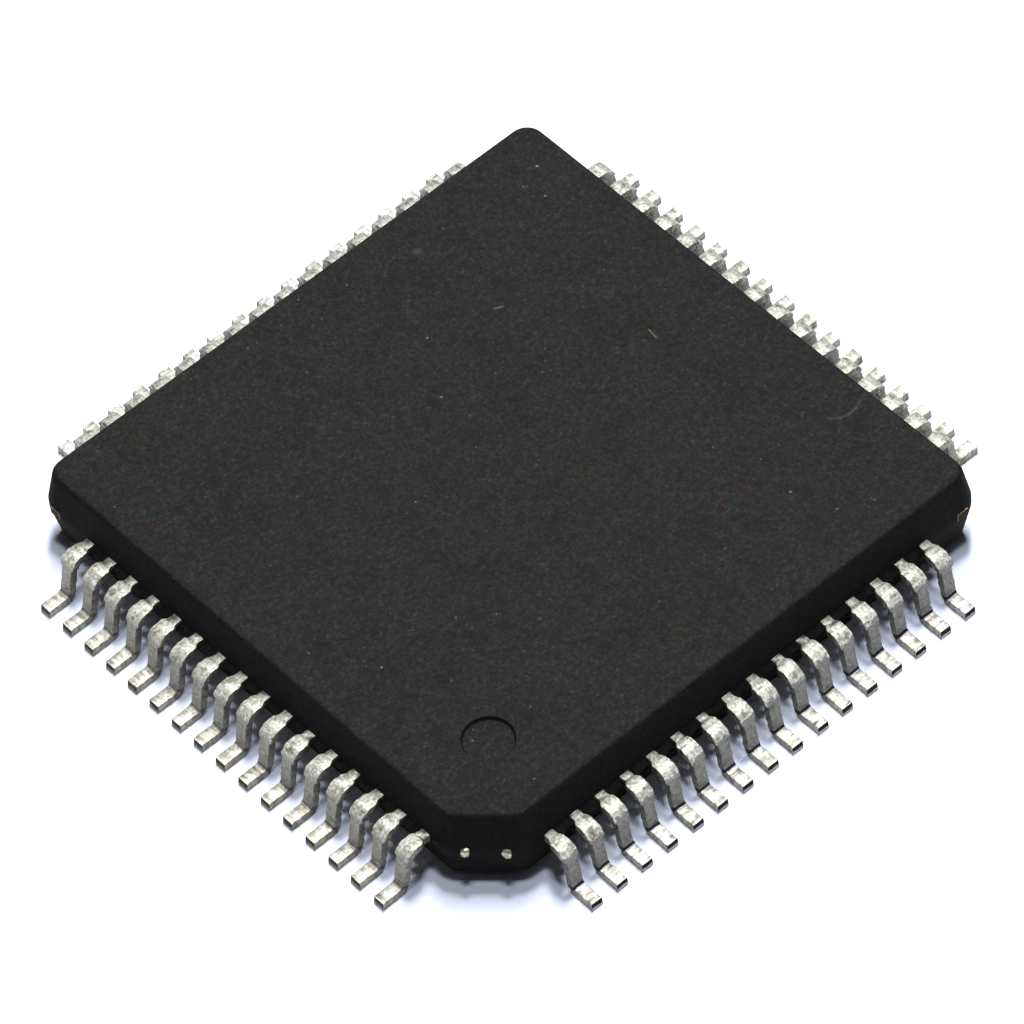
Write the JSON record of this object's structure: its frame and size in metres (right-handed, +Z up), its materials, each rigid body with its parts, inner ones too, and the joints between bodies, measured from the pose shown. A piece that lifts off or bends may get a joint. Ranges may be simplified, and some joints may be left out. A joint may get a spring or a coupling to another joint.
{
  "type": "quad flat pack chip",
  "caption": "Low-profile square quad flat pack chip: matte black moulded body with a chamfered pin 1 corner and a round recess, and tinned gull-wing leads along every side.",
  "frame": {"origin": "on the plane that the feet stand on, under the middle of the body, which is the bottom centre of the whole part's box", "axes": "+Z up from the board through the body's top; the chamfered pin 1 corner is at -X -Y; pins 1 to 16 are along -Y from -X to +X, then 17 to 32 along +X, 33 to 48 along +Y and 49 to 64 along -X, anticlockwise seen from above"},
  "size_m": [0.012, 0.012, 0.0015],
  "materials": {
    "mould": "matte spark-eroded black moulding compound",
    "tin": "matte electroplated tin on copper alloy, with dark sheared ends",
    "leadframe": "bare copper alloy inside the body",
    "attach": "silver-filled epoxy",
    "die": "polished silicon",
    "wire": "bare gold wire"
  },
  "bodies": {
    "root": {"mould_body": "mould", "die_pad": "leadframe", "die_attach": "attach", "die": "die", "leads_01_02": "tin", "leads_03_04": "tin", "leads_05_06": "tin", "leads_07_08": "tin", "leads_09_10": "tin", "leads_11_12": "tin", "leads_13_14": "tin", "leads_15_16": "tin", "leads_17_18": "tin", "leads_19_20": "tin", "leads_21_22": "tin", "leads_23_24": "tin", "leads_25_26": "tin", "leads_27_28": "tin", "leads_29_30": "tin", "leads_31_32": "tin", "leads_33_34": "tin", "leads_35_36": "tin", "leads_37_38": "tin", "leads_39_40": "tin", "leads_41_42": "tin", "leads_43_44": "tin", "leads_45_46": "tin", "leads_47_48": "tin", "leads_49_50": "tin", "leads_51_52": "tin", "leads_53_54": "tin", "leads_55_56": "tin", "leads_57_58": "tin", "leads_59_60": "tin", "leads_61_62": "tin", "leads_63_64": "tin", "bond_wires_01_04": "wire", "bond_wires_05_08": "wire", "bond_wires_09_12": "wire", "bond_wires_13_16": "wire", "bond_wires_17_20": "wire", "bond_wires_21_24": "wire", "bond_wires_25_28": "wire", "bond_wires_29_32": "wire", "bond_wires_33_36": "wire", "bond_wires_37_40": "wire", "bond_wires_41_44": "wire", "bond_wires_45_48": "wire", "bond_wires_49_52": "wire", "bond_wires_53_56": "wire", "bond_wires_57_60": "wire", "bond_wires_61_64": "wire"}
  },
  "joints": []
}
